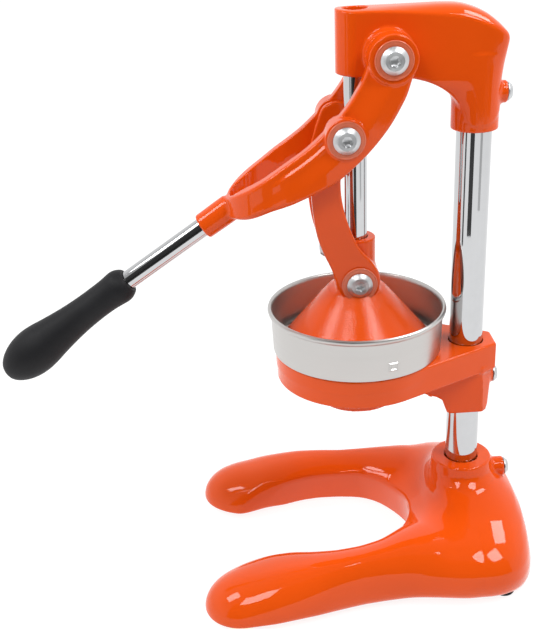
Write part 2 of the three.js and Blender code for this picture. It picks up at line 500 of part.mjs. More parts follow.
// -------------------------------------------- pivot shafts, washers, screws
// A shaft's ends are tapped, and each screw's shank sits in the tapping.
function washer(side, x, at) {
  const m = cut(solid(rodX(x, x + WASHER_T, at, WASHER_R, 24)), solid(rodX(x - 2, x + 4, at, 3.6, 10)));
  return toGeometry(side < 0 ? m.mirror([1, 0, 0]) : m);
}
function pivotScrew(side, x, at, shank) {
  const g = turnZ([[0, 0], [SCREW_R, 0], [SCREW_R, 1.0], [6.4, SCREW_T], [0, SCREW_T]], 0, 18);
  g.rotateY(Math.PI / 2);
  g.translate(x, at[0], at[1]);
  let m = join(solid(g), solid(rodX(x - shank, x + 0.5, at, 3.0, 10)));
  m = cut(m, solid(rodX(x + 0.8, x + 8, at, 3.3, 6)));
  return toGeometry(side < 0 ? m.mirror([1, 0, 0]) : m);
}
const tapping = (x0, x1, at) => solid(rodX(x0, x1, at, 3.0 + GAP, 10));
const padFace = PAD_X + GAP, headFace = padFace + WASHER_T + GAP;
piece('head_pivot_shaft', toGeometry(cut(solid(rodX(-PAD_X + 0.1, PAD_X - 0.1, A, SHAFT_R, 16)),
  tapping(PAD_X - 14, 60, A), tapping(-60, -PAD_X + 14, A))), STEEL);
// each link turns on a short pin in a blind bore, because the guide rod runs
// between them; the pin ends at the arm's inner face, where the linkage is opened
const pin = solid(rodX(PIN_SEAT_X + GAP, ARM_IN - 0.4, B, SHAFT_R, 16));
piece('link_pivot_pin_right', toGeometry(pin), STEEL);
piece('link_pivot_pin_left', toGeometry(pin.mirror([1, 0, 0])), STEEL);
const linkFace = LINK_LOW_X + LINK_T + 2 * GAP, bellHead = linkFace + WASHER_T + GAP;
piece('bell_pivot_shaft', toGeometry(cut(solid(rodX(-linkFace + 0.4, linkFace - 0.4, C, SHAFT_R, 16)),
  tapping(10, 60, C), tapping(-60, -10, C))), STEEL);
for (const [side, tag] of [[1, 'right'], [-1, 'left']]) {
  piece('head_pivot_washer_' + tag, washer(side, padFace, A), WASHER);
  piece('head_pivot_screw_' + tag, pivotScrew(side, headFace, A, 12), CHROME);
  piece('link_pivot_washer_' + tag, washer(side, padFace, B), WASHER);
  piece('link_pivot_screw_' + tag, pivotScrew(side, headFace, B, 9), CHROME);
  piece('bell_pivot_washer_' + tag, washer(side, linkFace, C), WASHER);
  piece('bell_pivot_screw_' + tag, pivotScrew(side, bellHead, C, 7.2), CHROME);
}

export default press;
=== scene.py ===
# Lever citrus press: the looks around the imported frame. Lengths in the
# modelling code are millimetres in the column frame (column axis at x = y = 0,
# z = 0 on the worktop); P() and SY turn them into the part's frame in metres.
import math
import bpy
import numpy as np
from mathutils import Matrix, Vector


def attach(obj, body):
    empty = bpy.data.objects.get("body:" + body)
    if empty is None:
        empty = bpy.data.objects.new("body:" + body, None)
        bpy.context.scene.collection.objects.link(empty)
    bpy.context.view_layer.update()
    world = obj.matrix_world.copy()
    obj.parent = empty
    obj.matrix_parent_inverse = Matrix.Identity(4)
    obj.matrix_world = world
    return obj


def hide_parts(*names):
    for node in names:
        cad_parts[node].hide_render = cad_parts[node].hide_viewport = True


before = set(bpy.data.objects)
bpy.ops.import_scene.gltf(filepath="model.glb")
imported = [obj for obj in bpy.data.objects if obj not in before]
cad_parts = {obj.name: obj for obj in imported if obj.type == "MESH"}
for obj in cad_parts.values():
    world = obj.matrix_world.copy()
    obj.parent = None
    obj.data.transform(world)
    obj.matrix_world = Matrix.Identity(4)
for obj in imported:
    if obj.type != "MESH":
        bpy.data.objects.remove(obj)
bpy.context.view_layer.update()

SY = 150.98


def P(x, y, z):
    return Vector((x, y + SY, z)) / 1000.0


# --------------------------------------------------------------- dimensions
PY = -83.5                       # guide rod, bell, cup and bowl axis
A = (-63.0, 403.6)
B = (-94.4, 352.6)
C = (PY, 240.5)
PAD_X = 38.5

# ------------------------------------------------------------- field helpers


def smin(a, b, k):
    h = np.maximum(k - np.abs(a - b), 0.0) / k
    return np.minimum(a, b) - h * h * k * 0.25


def smax(a, b, k):
    return -smin(-a, -b, k)


def sstep(t, a, b):
    s = np.clip((t - a) / (b - a), 0.0, 1.0)
    return s * s * (3 - 2 * s)


def rnd(a, b, r):
    """Meet of two fields with an edge of radius r."""
    p, q = a + r, b + r
    return np.minimum(np.maximum(p, q), 0.0) + np.hypot(np.maximum(p, 0.0), np.maximum(q, 0.0)) - r


def poly(u, v, pts):
    """Signed distance to a closed outline."""
    pts = np.asarray(pts, float)
    n = len(pts)
    shape = np.broadcast(u, v).shape
    d = np.full(shape, 1e18)
    s = np.ones(shape)
    j = n - 1
    for i in range(n):
        ex, ey = pts[j] - pts[i]
        wx = u - pts[i, 0]
        wy = v - pts[i, 1]
        t = np.clip((wx * ex + wy * ey) / (ex * ex + ey * ey), 0.0, 1.0)
        d = np.minimum(d, (wx - ex * t) ** 2 + (wy - ey * t) ** 2)
        c1 = v >= pts[i, 1]
        c2 = v < pts[j, 1]
        c3 = ex * wy > ey * wx
        flip = (c1 & c2 & c3) | (~c1 & ~c2 & ~c3)
        s = np.where(flip, -s, s)
        j = i
    return s * np.sqrt(d)


def line_dist(u, v, pts):
    """Distance to an open line of points, and the station along it (0..n-1)."""
    pts = np.asarray(pts, float)
    shape = np.broadcast(u, v).shape
    best = np.full(shape, 1e18)
    st = np.zeros(shape)
    for i in range(len(pts) - 1):
        ex, ey = pts[i + 1] - pts[i]
        wx = u - pts[i, 0]
        wy = v - pts[i, 1]
        t = np.clip((wx * ex + wy * ey) / (ex * ex + ey * ey), 0.0, 1.0)
        d = (wx - ex * t) ** 2 + (wy - ey * t) ** 2
        m = d < best
        best = np.where(m, d, best)
        st = np.where(m, i + t, st)
    return np.sqrt(best), st


def curve(pts, per=6, closed=True):
    """A smooth line through the points (centripetal-like Catmull-Rom)."""
    pts = np.asarray(pts, float)
    n = len(pts)
    out = []
    last = n if closed else n - 1
    for i in range(last):
        p0 = pts[(i - 1) % n] if closed or i > 0 else 2 * pts[0] - pts[1]
        p1 = pts[i % n]
        p2 = pts[(i + 1) % n]
        p3 = pts[(i + 2) % n] if closed or i + 2 < n else 2 * pts[-1] - pts[-2]
        l1 = max(np.linalg.norm(p2 - p1), 1e-9)
        l0 = max(np.linalg.norm(p1 - p0), 1e-9)
        l2 = max(np.linalg.norm(p3 - p2), 1e-9)
        m1 = (l1 * (p1 - p0) / l0 + l0 * (p2 - p1) / l1) / (l0 + l1) * l1
        m2 = (l2 * (p2 - p1) / l1 + l1 * (p3 - p2) / l2) / (l1 + l2) * l1
        for k in range(per):
            t = k / per
            h00 = 2 * t ** 3 - 3 * t ** 2 + 1
            h10 = t ** 3 - 2 * t ** 2 + t
            h01 = -2 * t ** 3 + 3 * t ** 2
            h11 = t ** 3 - t ** 2
            out.append(h00 * p1 + h10 * m1 + h01 * p2 + h11 * m2)
    if not closed:
        out.append(pts[-1])
    return np.array(out)


def smooth_table(rows, width=6.0, step=0.5):
    """Columns of a table as smooth functions of its first column."""
    rows = np.asarray(rows, float)
    rows = rows[np.argsort(rows[:, 0])]
    t = np.arange(rows[0, 0] - 3 * width, rows[-1, 0] + 3 * width, step)
    k = np.hanning(int(2 * width / step) | 1)
    k /= k.sum()
    cols = []
    for c in range(1, rows.shape[1]):
        a, b = rows[0], rows[-1]
        s0 = (rows[1, c] - a[c]) / (rows[1, 0] - a[0])
        s1 = (b[c] - rows[-2, c]) / (b[0] - rows[-2, 0])
        v = np.interp(t, rows[:, 0], rows[:, c])
        v = np.where(t < a[0], a[c] + s0 * (t - a[0]), v)
        v = np.where(t > b[0], b[c] + s1 * (t - b[0]), v)
        pad = len(k) // 2
        vv = np.concatenate([v[0] + (np.arange(-pad, 0)) * (v[1] - v[0]), v, v[-1] + np.arange(1, pad + 1) * (v[-1] - v[-2])])
        cols.append(np.convolve(vv, k, mode="valid"))
    return t, cols


def look_up(tab, i, x):
    return np.interp(x, tab[0], tab[1][i])


def cyl_x(x, y, z, c, r, x0, x1, rd=1.0):
    return rnd(np.hypot(y - c[0], z - c[1]) - r, np.abs(x - (x0 + x1) / 2) - (x1 - x0) / 2, rd)


def cyl_z(x, y, z, cy, r, z0, z1, rd=1.0):
    return rnd(np.hypot(x, y - cy) - r, np.abs(z - (z0 + z1) / 2) - (z1 - z0) / 2, rd)


def cyl_y(x, y, z, cz, r, y0, y1, rd=1.0):
    return rnd(np.hypot(x, z - cz) - r, np.abs(y - (y0 + y1) / 2) - (y1 - y0) / 2, rd)


# -------------------------------------------------------------- mesh from field


def surface(fn, lo, hi, h):
    lo = np.array(lo, float) - 2.5 * h
    hi = np.array(hi, float) + 2.5 * h
    n = np.ceil((hi - lo) / h).astype(int) + 1
    ax = [lo[i] + h * np.arange(n[i]) for i in range(3)]
    F = np.array(np.broadcast_to(fn(ax[0][:, None, None], ax[1][None, :, None], ax[2][None, None, :]), n))
    S = F < 0
    c = np.zeros(n - 1, np.int8)
    for a in (0, 1):
        for b in (0, 1):
            for d in (0, 1):
                c += S[a:n[0] - 1 + a, b:n[1] - 1 + b, d:n[2] - 1 + d]
    mixed = (c > 0) & (c < 8)
    idx = np.full(mixed.shape, -1, np.int64)
    cells = np.argwhere(mixed)
    idx[mixed] = np.arange(len(cells))
    acc = np.zeros((len(cells), 3))
    cnt = np.zeros(len(cells))
    corners = [(a, b, d) for a in (0, 1) for b in (0, 1) for d in (0, 1)]
    for p in corners:
        for q in corners:
            if sum(abs(np.array(p) - np.array(q))) != 1 or p > q:
                continue
            fp = F[cells[:, 0] + p[0], cells[:, 1] + p[1], cells[:, 2] + p[2]]
            fq = F[cells[:, 0] + q[0], cells[:, 1] + q[1], cells[:, 2] + q[2]]
            m = (fp < 0) != (fq < 0)
            t = fp[m] / (fp[m] - fq[m])
            acc[m] += np.array(p) + t[:, None] * (np.array(q) - np.array(p))
            cnt[m] += 1
    v = (cells + acc / cnt[:, None]) * h + lo
    quads = []
    for axis in range(3):
        u, w = (axis + 1) % 3, (axis + 2) % 3
        sl0 = [slice(None)] * 3
        sl1 = [slice(None)] * 3
        sl0[axis] = slice(0, n[axis] - 1)
        sl1[axis] = slice(1, n[axis])
        cross = S[tuple(sl0)] != S[tuple(sl1)]
        e = np.argwhere(cross)
        e = e[(e[:, u] > 0) & (e[:, w] > 0) & (e[:, u] < n[u] - 1) & (e[:, w] < n[w] - 1)]
        inside = S[e[:, 0], e[:, 1], e[:, 2]]
        q = []
        for du, dw in ((-1, -1), (0, -1), (0, 0), (-1, 0)):
            cc = e.copy()
            cc[:, u] += du
            cc[:, w] += dw
            q.append(idx[cc[:, 0], cc[:, 1], cc[:, 2]])
        q = np.stack(q, 1)
        q[~inside] = q[~inside][:, ::-1]
        quads.append(q)
    quads = np.concatenate(quads)
    quads = quads[(quads >= 0).all(1)]
    e = 0.04

    def grad(v):
        g = np.empty_like(v)
        for i in range(3):
            d = np.zeros(3)
            d[i] = e
            g[:, i] = (fn(*(v + d).T) - fn(*(v - d).T)) / (2 * e)
        return g

    for _ in range(4):
        f = fn(*v.T)
        g = grad(v)
        g2 = np.maximum((g * g).sum(1), 0.05)
        stepv = (f / g2)[:, None] * g
        ln = np.linalg.norm(stepv, axis=1)
        stepv *= (np.minimum(ln, 0.4 * h) / np.maximum(ln, 1e-9))[:, None]
        v = v - stepv
    g = grad(v)
    nrm = g / np.maximum(np.linalg.norm(g, axis=1), 1e-9)[:, None]
    return v, quads, nrm


def add_mesh(name, verts, faces, mat, normals=None, smooth=True):
    me = bpy.data.meshes.new(name)
    co = np.asarray(verts, float).copy()
    co[:, 1] += SY
    co /= 1000.0
    me.from_pydata(co.tolist(), [], [list(map(int, f)) for f in faces])
    me.validate()
    me.update()
    ob = bpy.data.objects.new(name, me)
    bpy.context.scene.collection.objects.link(ob)
    me.materials.append(mat)
    if smooth:
        me.polygons.foreach_set("use_smooth", [True] * len(me.polygons))
    if normals is not None and len(me.vertices) == len(normals):
        me.normals_split_custom_set_from_vertices(np.asarray(normals, float).tolist())
    me.update()
    return ob


def cast(name, fn, lo, hi, h, mat, mirror=False):
    """A casting: the surface of a field, meshed at step h."""
    v, q, nr = surface(fn, lo, hi, h)
    if mirror:
        v = v * np.array([-1.0, 1, 1])
        nr = nr * np.array([-1.0, 1, 1])
        q = q[:, ::-1]
    return add_mesh(name, v, q, mat, nr)


def turned(name, profile, mat, origin, axis, seg=96, per=1, smooth_profile=False, bend=None, closed=False):
    """A turned piece: (radius, station) profile about an axis. Profile corners
    are kept crisp by splitting the shading normals per ring."""
    pts = curve(profile, per, closed) if smooth_profile else np.asarray(profile, float)
    w = Vector(axis).normalized()
    a = Vector((1, 0, 0)) if abs(w.x) < 0.9 else Vector((0, 1, 0))
    u = (a - w * a.dot(w)).normalized()
    v = w.cross(u)
    o = Vector(origin)
    verts = []
    rings = []
    for r, s in pts:
        c = o + w * s
        if bend is not None:
            c = c + Vector(bend(s))
        if r < 1e-6:
            rings.append([len(verts)])
            verts.append(tuple(c))
        else:
            ring = []
            for k in range(seg):
                an = 2 * math.pi * k / seg
                ring.append(len(verts))
                verts.append(tuple(c + u * (r * math.cos(an)) + v * (r * math.sin(an))))
            rings.append(ring)
    faces = []
    nr = len(rings)
    for i in range(nr if closed else nr - 1):
        p, q = rings[i], rings[(i + 1) % nr]
        for k in range(seg):
            k2 = (k + 1) % seg
            if len(p) == 1 and len(q) == 1:
                break
            if len(p) == 1:
                faces.append((p[0], q[k], q[k2]))
            elif len(q) == 1:
                faces.append((p[k], q[0], p[k2]))
            else:
                faces.append((p[k], q[k], q[k2], p[k2]))
    # outward orientation: signed volume
    V = np.array(verts)
    F3 = np.array([(f[0], f[t], f[t + 1]) for f in faces for t in range(1, len(f) - 1)])
    full = np.einsum("ij,ij->i", V[F3[:, 0]], np.cross(V[F3[:, 1]], V[F3[:, 2]])).sum()
    if full < 0:
        faces = [f[::-1] for f in faces]
    ob = add_mesh(name, V, faces, mat)
    ob.data.set_sharp_from_angle(angle=math.radians(32))
    return ob


# ------------------------------------------------------------------ materials


def new_mat(name):
    m = bpy.data.materials.new(name)
    m.use_nodes = True
    nt = m.node_tree
    b = nt.nodes["Principled BSDF"]
    return m, nt, b


def noise(nt, scale, detail=3.0, rough=0.5, vec=None, stretch=None):
    tc = nt.nodes.new("ShaderNodeTexCoord")
    n = nt.nodes.new("ShaderNodeTexNoise")
    n.inputs["Scale"].default_value = scale
    n.inputs["Detail"].default_value = detail
    n.inputs["Roughness"].default_value = rough
    if stretch:
        mp = nt.nodes.new("ShaderNodeMapping")
        mp.inputs["Scale"].default_value = stretch
        nt.links.new(tc.outputs["Object"], mp.inputs["Vector"])
        nt.links.new(mp.outputs["Vector"], n.inputs["Vector"])
    else:
        nt.links.new(tc.outputs["Object"], n.inputs["Vector"])
    return n


def ramp(nt, src, stops):
    r = nt.nodes.new("ShaderNodeValToRGB")
    el = r.color_ramp.elements
    el[0].position, el[0].color = stops[0][0], (*stops[0][1], 1)
    el[1].position, el[1].color = stops[1][0], (*stops[1][1], 1)
    nt.links.new(src, r.inputs["Fac"])
    return r


def spread(nt, src, lo, hi, a=0.3, b=0.7):
    r = nt.nodes.new("ShaderNodeMapRange")
    r.inputs["From Min"].default_value = a
    r.inputs["From Max"].default_value = b
    r.inputs["To Min"].default_value = lo
    r.inputs["To Max"].default_value = hi
    nt.links.new(src, r.inputs["Value"])
    return r


def bump(nt, b, src, strength, dist, prev=None):
    n = nt.nodes.new("ShaderNodeBump")
    n.inputs["Strength"].default_value = strength
    n.inputs["Distance"].default_value = dist
    nt.links.new(src, n.inputs["Height"])
    if prev:
        nt.links.new(prev.outputs["Normal"], n.inputs["Normal"])
    nt.links.new(n.outputs["Normal"], b.inputs["Normal"])
    return n


def paint(name, c0, c1, rough, grain=None):
    m, nt, b = new_mat(name)
    n = noise(nt, 22.0, 2.0)
    nt.links.new(ramp(nt, n.outputs["Fac"], [(0.3, c0), (0.7, c1)]).outputs["Color"], b.inputs["Base Color"])
    n2 = noise(nt, 60.0, 4.0)
    nt.links.new(spread(nt, n2.outputs["Fac"], rough * 0.85, rough * 1.2).outputs["Result"], b.inputs["Roughness"])
    b.inputs["Specular IOR Level"].default_value = 0.30
    peel = noise(nt, 170.0, 1.0)
    bp = bump(nt, b, peel.outputs["Fac"], 0.05, 0.0006)
    if grain:
        g = noise(nt, grain[0], 2.0, 0.6)
        bump(nt, b, g.outputs["Fac"], grain[1], grain[2], bp)
    return m


ORANGE = paint("orange_enamel", (0.735, 0.0780, 0.0036), (0.77, 0.0830, 0.0044), 0.045)
BELL = paint("bell_enamel", (0.74, 0.0790, 0.0040), (0.775, 0.0850, 0.0050), 0.15, (750.0, 0.35, 0.0005))


def metal(name, color, rough, stretch=None, scale=300.0, var=0.3, bmp=None, aniso=0.0):
    m, nt, b = new_mat(name)
    b.inputs["Metallic"].default_value = 1.0
    n = noise(nt, scale, 3.0, 0.6, stretch=stretch)
    c0 = tuple(v * (1 - 0.06 * var) for v in color)
    nt.links.new(ramp(nt, n.outputs["Fac"], [(0.3, c0), (0.7, color)]).outputs["Color"], b.inputs["Base Color"])
    nt.links.new(spread(nt, n.outputs["Fac"], rough * (1 - var), rough * (1 + var)).outputs["Result"], b.inputs["Roughness"])
    if bmp:
        bump(nt, b, n.outputs["Fac"], *bmp)
    return m


CHROME = metal("chrome_plate", (0.56, 0.565, 0.575), 0.03, None, 120.0, 0.5)
SCREW = metal("screw_zinc", (0.60, 0.61, 0.62), 0.42, None, 900.0, 0.3, (0.05, 0.0001))
SATIN = metal("satin_steel_rolled", (0.545, 0.53, 0.515), 0.34, (5.0, 5.0, 700.0), 1.0, 0.17, (0.035, 0.0001))
SATIN_IN = metal("satin_steel_cone", (0.60, 0.585, 0.57), 0.34, None, 500.0, 0.25, (0.06, 0.0001))
PIN = metal("ground_pin", (0.50, 0.50, 0.51), 0.28, None, 600.0, 0.3)


def rubber(name):
    m, nt, b = new_mat(name)
    n = noise(nt, 40.0, 4.0)
    nt.links.new(ramp(nt, n.outputs["Fac"], [(0.3, (0.010, 0.010, 0.0115)), (0.7, (0.015, 0.015, 0.0165))]).outputs["Color"], b.inputs["Base Color"])
    n2 = noise(nt, 1400.0, 2.0)
    nt.links.new(spread(nt, n2.outputs["Fac"], 0.48, 0.62).outputs["Result"], b.inputs["Roughness"])
    bump(nt, b, n2.outputs["Fac"], 0.25, 0.0002)
    b.inputs["Specular IOR Level"].default_value = 0.20
    return m


RUBBER = rubber("soft_rubber")


def clear():
    m, nt, b = new_mat("clear_washer")
    n = noise(nt, 300.0, 2.0)
    # painted see-through colour: the washers are clear plastic, and this salmon tint stands in for the orange paint
    # showing through them, not a colour of their own
    nt.links.new(ramp(nt, n.outputs["Fac"], [(0.3, (0.74, 0.17, 0.085)), (0.7, (0.78, 0.19, 0.10))]).outputs["Color"], b.inputs["Base Color"])
    nt.links.new(spread(nt, n.outputs["Fac"], 0.10, 0.18).outputs["Result"], b.inputs["Roughness"])
    b.inputs["Transmission Weight"].default_value = 0.12
    b.inputs["IOR"].default_value = 1.4
    return m


CLEAR = clear()

# ---------------------------------------------------------------------- base
LEG = smooth_table([
    # y, centre x, outer half width, crest, widest height, inner half width
    (-225, 75.5, 29.0, 30.3, 7.3, 29.0),
    (-200, 75.4, 29.0, 30.6, 7.8, 29.3),
    (-186, 75.3, 28.9, 31.8, 8.4, 31.6),
    (-170, 74.9, 28.5, 34.9, 9.9, 35.5),
    (-156, 75.6, 27.2, 38.3, 11.3, 38.0),
    (-140, 76.7, 23.7, 40.7, 13.8, 37.0),
    (-125, 77.4, 20.1, 42.5, 15.3, 32.6),
    (-107, 76.3, 16.2, 43.5, 16.8, 29.0),
    (-89, 73.6, 14.6, 44.1, 18.3, 28.2),
    (-72, 69.9, 16.9, 46.2, 19.9, 28.6),
    (-55, 64.9, 21.7, 48.8, 20.7, 36.5),
    (-35, 59.3, 29.3, 50.6, 20.7, 46.0),
    (-10, 52.3, 37.7, 49.5, 20.7, 50.0),
    (20, 44.0, 40.4, 42.4, 20.7, 50.0),
], 9.0)
LEG_END, LEG_NOSE, LEG_REAR = -174.0, 35.4, 0.7
BODY = smooth_table([
    # z, half width, front y, middle y, rear y, front squareness, rear squareness
    (-4, 78.5, -60, 8, 47.9, 2.4, 2.80),
    (3, 80.1, -58, 8, 49.9, 2.4, 2.90),
    (10, 84.1, -56, 8, 50.0, 2.4, 2.95),
    (20, 86.5, -53, 8, 48.8, 2.4, 2.95),
    (30, 85.5, -48.0, 8, 46.8, 2.3, 2.90),
    (38, 79.8, -41.6, 7, 45.6, 2.2, 2.90),
    (46, 71.0, -32.0, 5, 43.6, 2.1, 2.85),
    (54, 58.0, -26.6, 3, 39.6, 2.0, 2.70),
    (60, 45.0, -24.6, 1, 33.4, 2.0, 2.40),
    (65, 32.0, -24.0, 0, 27.2, 2.0, 2.1),
    (71, 25.4, -23.7, 0, 24.6, 2.0, 2.0),
    (80, 23.3, -23.3, 0, 23.3, 2.0, 2.0),
    (92, 22.6, -22.6, 0, 22.6, 2.0, 2.0),
], 3.0, 0.25)
# outline of the gap between the legs (half), at the crest's height and at the foot
GAP_TOP = [(0, -42.2), (9, -43.3), (19.5, -47), (29.4, -53), (38.4, -61), (44.2, -69), (48.5, -77), (50.4, -85), (51.5, -93), (52.3, -101), (52.4, -109),
           (51.9, -117), (50.8, -125), (49.2, -133), (47.3, -141), (44.6, -150), (40.5, -160), (35, -171), (28, -185), (22, -200), (20, -260)]
GAP_FOOT = [(0, -37), (11, -38), (22.6, -40.7), (33, -45.5), (43, -51.8), (52.5, -60.5), (60, -72), (63, -85), (64, -99), (63.8, -112), (61.5, -125), (56.5, -140),
            (50.6, -156), (45, -166), (38, -176), (31, -190), (26, -205), (20, -260)]


def mirrored(half):
    line = curve(half, 3, False)
    return np.concatenate([line[::-1] * [1, 1], (line * [-1, 1])[1:]])


GAP_TOP, GAP_FOOT = mirrored(GAP_TOP), mirrored(GAP_FOOT)
FEET = [(76, -184), (-76, -184), (71, 20), (-71, 20)]


def leg_field(x, y, z, inset=0.0):
    yy = np.clip(y, -209.0, LEG_REAR)
    cx = look_up(LEG, 0, yy)
    top = look_up(LEG, 2, yy) - inset
    zc = look_up(LEG, 3, yy)
    dx = np.abs(x) - cx
    hw = np.where(dx < 0, look_up(LEG, 4, yy), look_up(LEG, 1, yy)) - inset
    ext = np.maximum(LEG_END - y, 0.0) / (LEG_NOSE - inset) + np.maximum(y - LEG_REAR, 0.0) / 32.0
    up = np.maximum(z - zc, 0.0) / (top - zc)
    dn = np.maximum(zc - z, 0.0) / (zc - 2.2 if inset == 0 else zc + 6.0)
    q = 1.9 + sstep(y, -191, -158) * 0.16
    a = np.abs(dx) / hw
    f = (np.power(a, q) + np.power(ext, 2.4) + np.power(up, q) + np.power(dn, 3.1)) ** (1.0 / q) - 1.0
    return f * np.minimum(hw, 20.0)


def gap_field(x, y, z):
    """The open space between the legs: positive inside it."""
    t = np.clip((36.5 - z) / 33.5, -0.4, 1.2)
    return -((1 - t) * poly(x, y, GAP_TOP) + t * poly(x, y, GAP_FOOT))


def body_field(x, y, z, inset=0.0):
    zz = np.clip(z, -4, 84)
    rx = look_up(BODY, 0, zz) - inset
    yf = look_up(BODY, 1, zz) + inset
    ym = look_up(BODY, 2, zz)
    yr = look_up(BODY, 3, zz) - inset
    pf = look_up(BODY, 4, zz)
    pr = look_up(BODY, 5, zz)
    fr = y < ym
    ry = np.where(fr, ym - yf, yr - ym)
    p = np.where(fr, pf, pr)
    f = (np.power(np.abs(x) / rx, p) + np.power(np.abs(y - ym) / ry, p)) ** (1.0 / p) - 1.0
    return f * 30.0


def base_field(x, y, z):
    b = body_field(x, y, z)
    b = smin(b, leg_field(x, y, z), 9.0 + 3.0 * sstep(z, 8, 45))
    # the gap is cut with a crisp edge that fades into the toes
    g = gap_field(x, y, z)
    soft = 2.2 + 7.0 * sstep(-y, 136, 162)
    b = rnd(b, g, soft)
    b = rnd(b, z - 80.5, 1.2)
    b = smin(b, cyl_y(x, y, z, 67.0, 7.8, 10, 34.2, 1.0), 3.0)
    # hollow underneath, with a seat round the column and pads over the feet
    h = smin(body_field(x, y, z, 5.5), leg_field(x, y, z, 5.2), 9.0 + 3.0 * sstep(z, 8, 45))
    h = rnd(h, g + 5.2, soft)
    h = np.maximum(h, z - 44.0)
    h = np.maximum(h, 19.0 - np.hypot(x, y))
    for fx, fy in FEET:
        h = np.maximum(h, 10.0 - np.hypot(x - fx, y - fy))
    b = smax(b, -h, 1.2)
    b = rnd(b, 3.0 - z, 0.8)
    b = smax(b, -cyl_z(x, y, z, 0.0, 13.0, 21.7, 140, 0.3), 0.5)
    b = np.maximum(b, -cyl_y(x, y, z, 67.0, 3.3, 5, 60, 0.3))
    for fx, fy in FEET:
        b = np.maximum(b, -(rnd(np.hypot(x - fx, y - fy) - 5.3, z - 9.0, 0.3)))
    return b


# ---------------------------------------------------------------------- head
HEAD_SIDE = [(-97.5, 389.2), (-70, 387.4), (-45, 385.6), (-36, 383.0), (-28.5, 379.4), (-21, 374.0), (-14, 366), (-6, 352), (6, 352), (16.0, 360),
             (16.6, 372), (16.9, 381), (18.5, 391.6), (19.8, 402), (20.5, 408.6), (19.6, 411.4), (16.8, 415.0), (11.2, 420.4), (4.2, 425.6), (-4.3, 429.6), (-12.6, 432.0),
             (-22.9, 432.9), (-40, 432.9), (-70, 432.5), (-97.5, 432.3)]
HEAD_OUT = np.concatenate([np.array(HEAD_SIDE[:2]), curve(HEAD_SIDE[2:23], 3, False), np.array(HEAD_SIDE[23:])])


def head_field(x, y, z):
    ax = np.abs(x)
    w = 14.0 + 2.6 * sstep(y, -80, 0)
    # the roof is vaulted across, most of all over the column
    fall = 1.2 + 5.6 * sstep(y, -80, -4) - 4.4 * sstep(y, 0, 26)
    fall = fall * np.minimum(ax / w, 1.12) ** 3.2 * sstep(z, 394, 409)
    prof = poly(y, z + fall, HEAD_OUT)
    # behind the column the plan is rounded and swells upwards
    p = 2.0 + 0.8 * sstep(z, 388, 410)
    ry = np.interp(z, [350, 372, 381, 391.6, 402, 409], [16.6, 16.8, 17.1, 18.8, 20.3, 21.4])
    rear = (((ax / w) ** p + (np.maximum(y, 0) / ry) ** p) ** (1 / p) - 1) * 16.6
    plan = np.where(y < PY, np.hypot(x, y - PY) - 14.0, np.where(y > 0, rear, ax - w))
    # below the arch the flat sides run out into the round socket
    plan = plan + (np.hypot(x, y) - 16.6 - plan) * (1 - sstep(z, 356, 384)) * (y > -60)
    d = rnd(prof, plan, 1.5)
    d = smin(d, cyl_z(x, y, z, 0.0, 16.6, 346.5, 400, 1.0), 2.5)
    d = smin(d, cyl_x(x, y, z, A, 16.4, -23.5, 23.5, 0.8), 2.8)
    d = smin(d, cyl_y(x, y, z, 371.0, 7.8, 8, 21.3, 1.0), 3.0)
    d = smax(d, -cyl_z(x, y, z, 0.0, 12.95, 330, 419, 0.3), 0.8)
    d = smax(d, -cyl_z(x, y, z, PY, 8.35, 370, 450, 0.3), 1.4)
    d = smax(d, -cyl_x(x, y, z, A, 6.4, -40, 40, 0.3), 0.8)
    d = np.maximum(d, -cyl_y(x, y, z, 371.0, 3.3, 5, 60, 0.3))
    return d


# ----------------------------------------------------------------------- yoke
ARM_PTS = [
    (-47.9, 399.5), (-50.8, 390.1), (-54.0, 379.9), (-58.1, 371.6), (-64.3, 360.8), (-72.5, 349.8), (-80.6, 340.7), (-88.9, 332.9),
    (-98.3, 325.0), (-115.3, 315.8), (-131.0, 307.9), (-146.6, 301.3), (-159.4, 295.9), (-167.6, 293.6), (-172.3, 293.3), (-175.5, 294.6),
    (-178.6, 298.6), (-178.8, 303.5), (-175.3, 306.7), (-169.5, 311.4), (-159.4, 318.2), (-149.2, 324.8), (-139.4, 331.8), (-129.5, 338.4),
    (-119.5, 345.7), (-109.4, 354.8), (-99.2, 365.2), (-91.4, 375.1), (-87.1, 381.9), (-80.6, 394.4), (-78.0, 402.8), (-63.2, 410.4),
]
ARM = curve(ARM_PTS, 3)
ARM_TOP = curve(ARM_PTS[17:31], 3, False)
FORK = curve([
    (28.65, -30), (28.65, -70), (28.65, -96), (28.6, -108), (27.95, -120), (27.4, -132), (26.85, -142), (25.35, -150), (23.2, -156.9),
    (19.95, -162.4), (15.7, -166.9), (9.7, -170.8), (3.4, -172.4), (-3.6, -172.4)], 3, False)
HD = np.array([-0.8315, -0.5555])
HP = np.array([-191.1, 286.06])


def along(y, z):
    """Station and offset from the handle's axis in the (y, z) plane."""
    s = (y - HP[0]) * HD[0] + (z - HP[1]) * HD[1]
    n = (y - HP[0]) * HD[1] - (z - HP[1]) * HD[0]
    return s, n


def side_dist(u, v, pts):
    """Distance to an open line of points, positive on its outer side."""
    shape = np.broadcast(u, v).shape
    best = np.full(shape, 1e18)
    sg = np.ones(shape)
    for i in range(len(pts) - 1):
        ex, ey = pts[i + 1] - pts[i]
        wx = u - pts[i, 0]
        wy = v - pts[i, 1]
        t = np.clip((wx * ex + wy * ey) / (ex * ex + ey * ey), 0.0, 1.0)
        d = (wx - ex * t) ** 2 + (wy - ey * t) ** 2
        m = d < best
        best = np.where(m, d, best)
        sg = np.where(m, np.sign(ex * wy - ey * wx), sg)
    return np.sqrt(best) * sg


